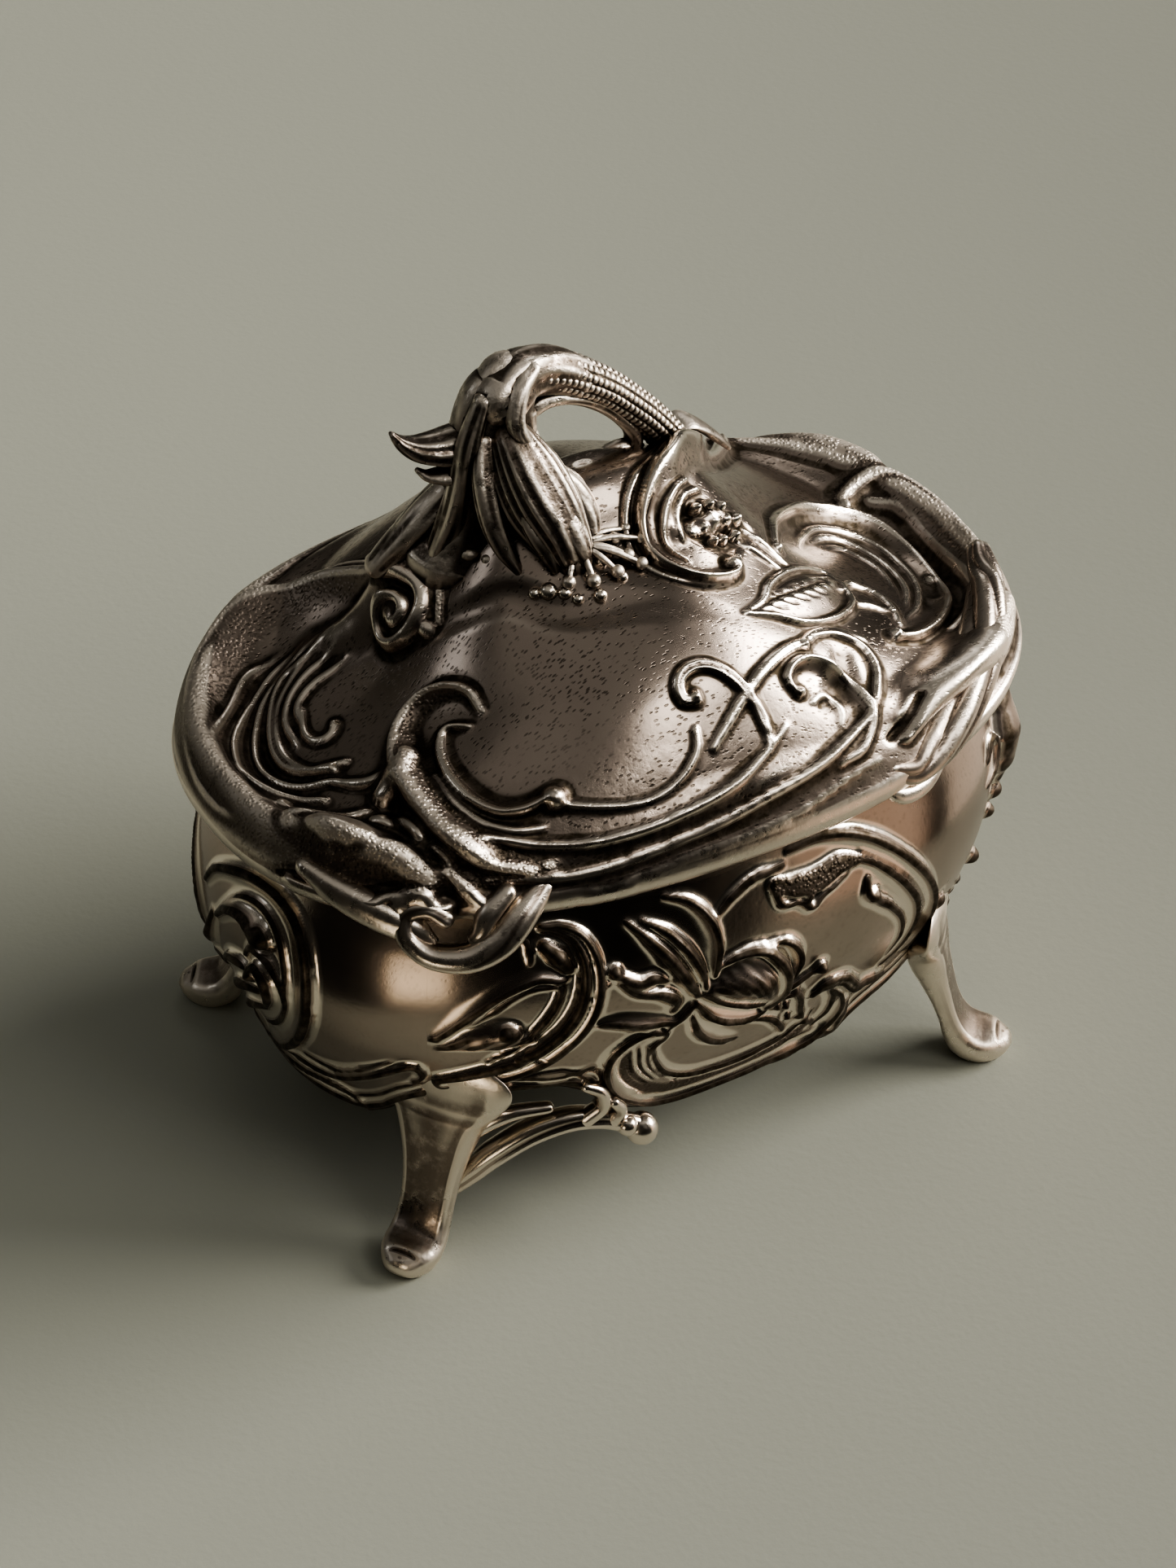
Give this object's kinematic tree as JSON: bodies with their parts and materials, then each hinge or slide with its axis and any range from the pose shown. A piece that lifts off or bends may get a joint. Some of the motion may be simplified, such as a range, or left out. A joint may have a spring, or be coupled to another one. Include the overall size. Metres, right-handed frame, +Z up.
{
  "type": "vanity trinket box",
  "caption": "Oval footed trinket casket in ornate cast metal, with a domed hinged lid, a flower-and-stem loop handle and a satin-lined inside.",
  "frame": {"origin": "on the resting plane, below the middle of the case", "axes": "+X along the case's length, to the right of someone facing the front; +Y from the front to the hinge; +Z up"},
  "size_m": [0.155, 0.1039, 0.1516],
  "materials": {
    "silver_plate": "aged silver plate, polished on the high places, with dark grey-brown patina in the hollows",
    "hinge_brass": "dull tarnished brass",
    "satin_lining": "faded dusty-rose satin"
  },
  "bodies": {
    "case": {"front_wall": "silver_plate", "right_wall": "silver_plate", "back_wall": "silver_plate", "left_wall": "silver_plate", "base_plate": "silver_plate", "leg_front_left": "silver_plate", "leg_front_right": "silver_plate", "leg_back_left": "silver_plate", "leg_back_right": "silver_plate", "apron_scroll_front": "silver_plate", "apron_scroll_back": "silver_plate", "hinge_body_leaf": "hinge_brass", "hinge_pin": "hinge_brass", "hinge_rivets_body": "hinge_brass", "wall_lining": "satin_lining", "floor_pad": "satin_lining"},
    "lid": {"lid_shell": "silver_plate", "lid_lining": "satin_lining", "hinge_lid_leaf": "hinge_brass", "hinge_rivets_lid": "hinge_brass", "handle_stem": "silver_plate", "handle_flower": "silver_plate", "flower_stamens": "silver_plate", "handle_petal": "silver_plate", "handle_leaf": "silver_plate", "handle_studs": "hinge_brass"}
  },
  "joints": [
    {"name": "lid_hinge", "type": "hinge", "parent": "case", "child": "lid", "pos_m": [0, 0.051, 0.0756], "axis": [-1, 0, 0], "range_deg": [0, 100]}
  ]
}
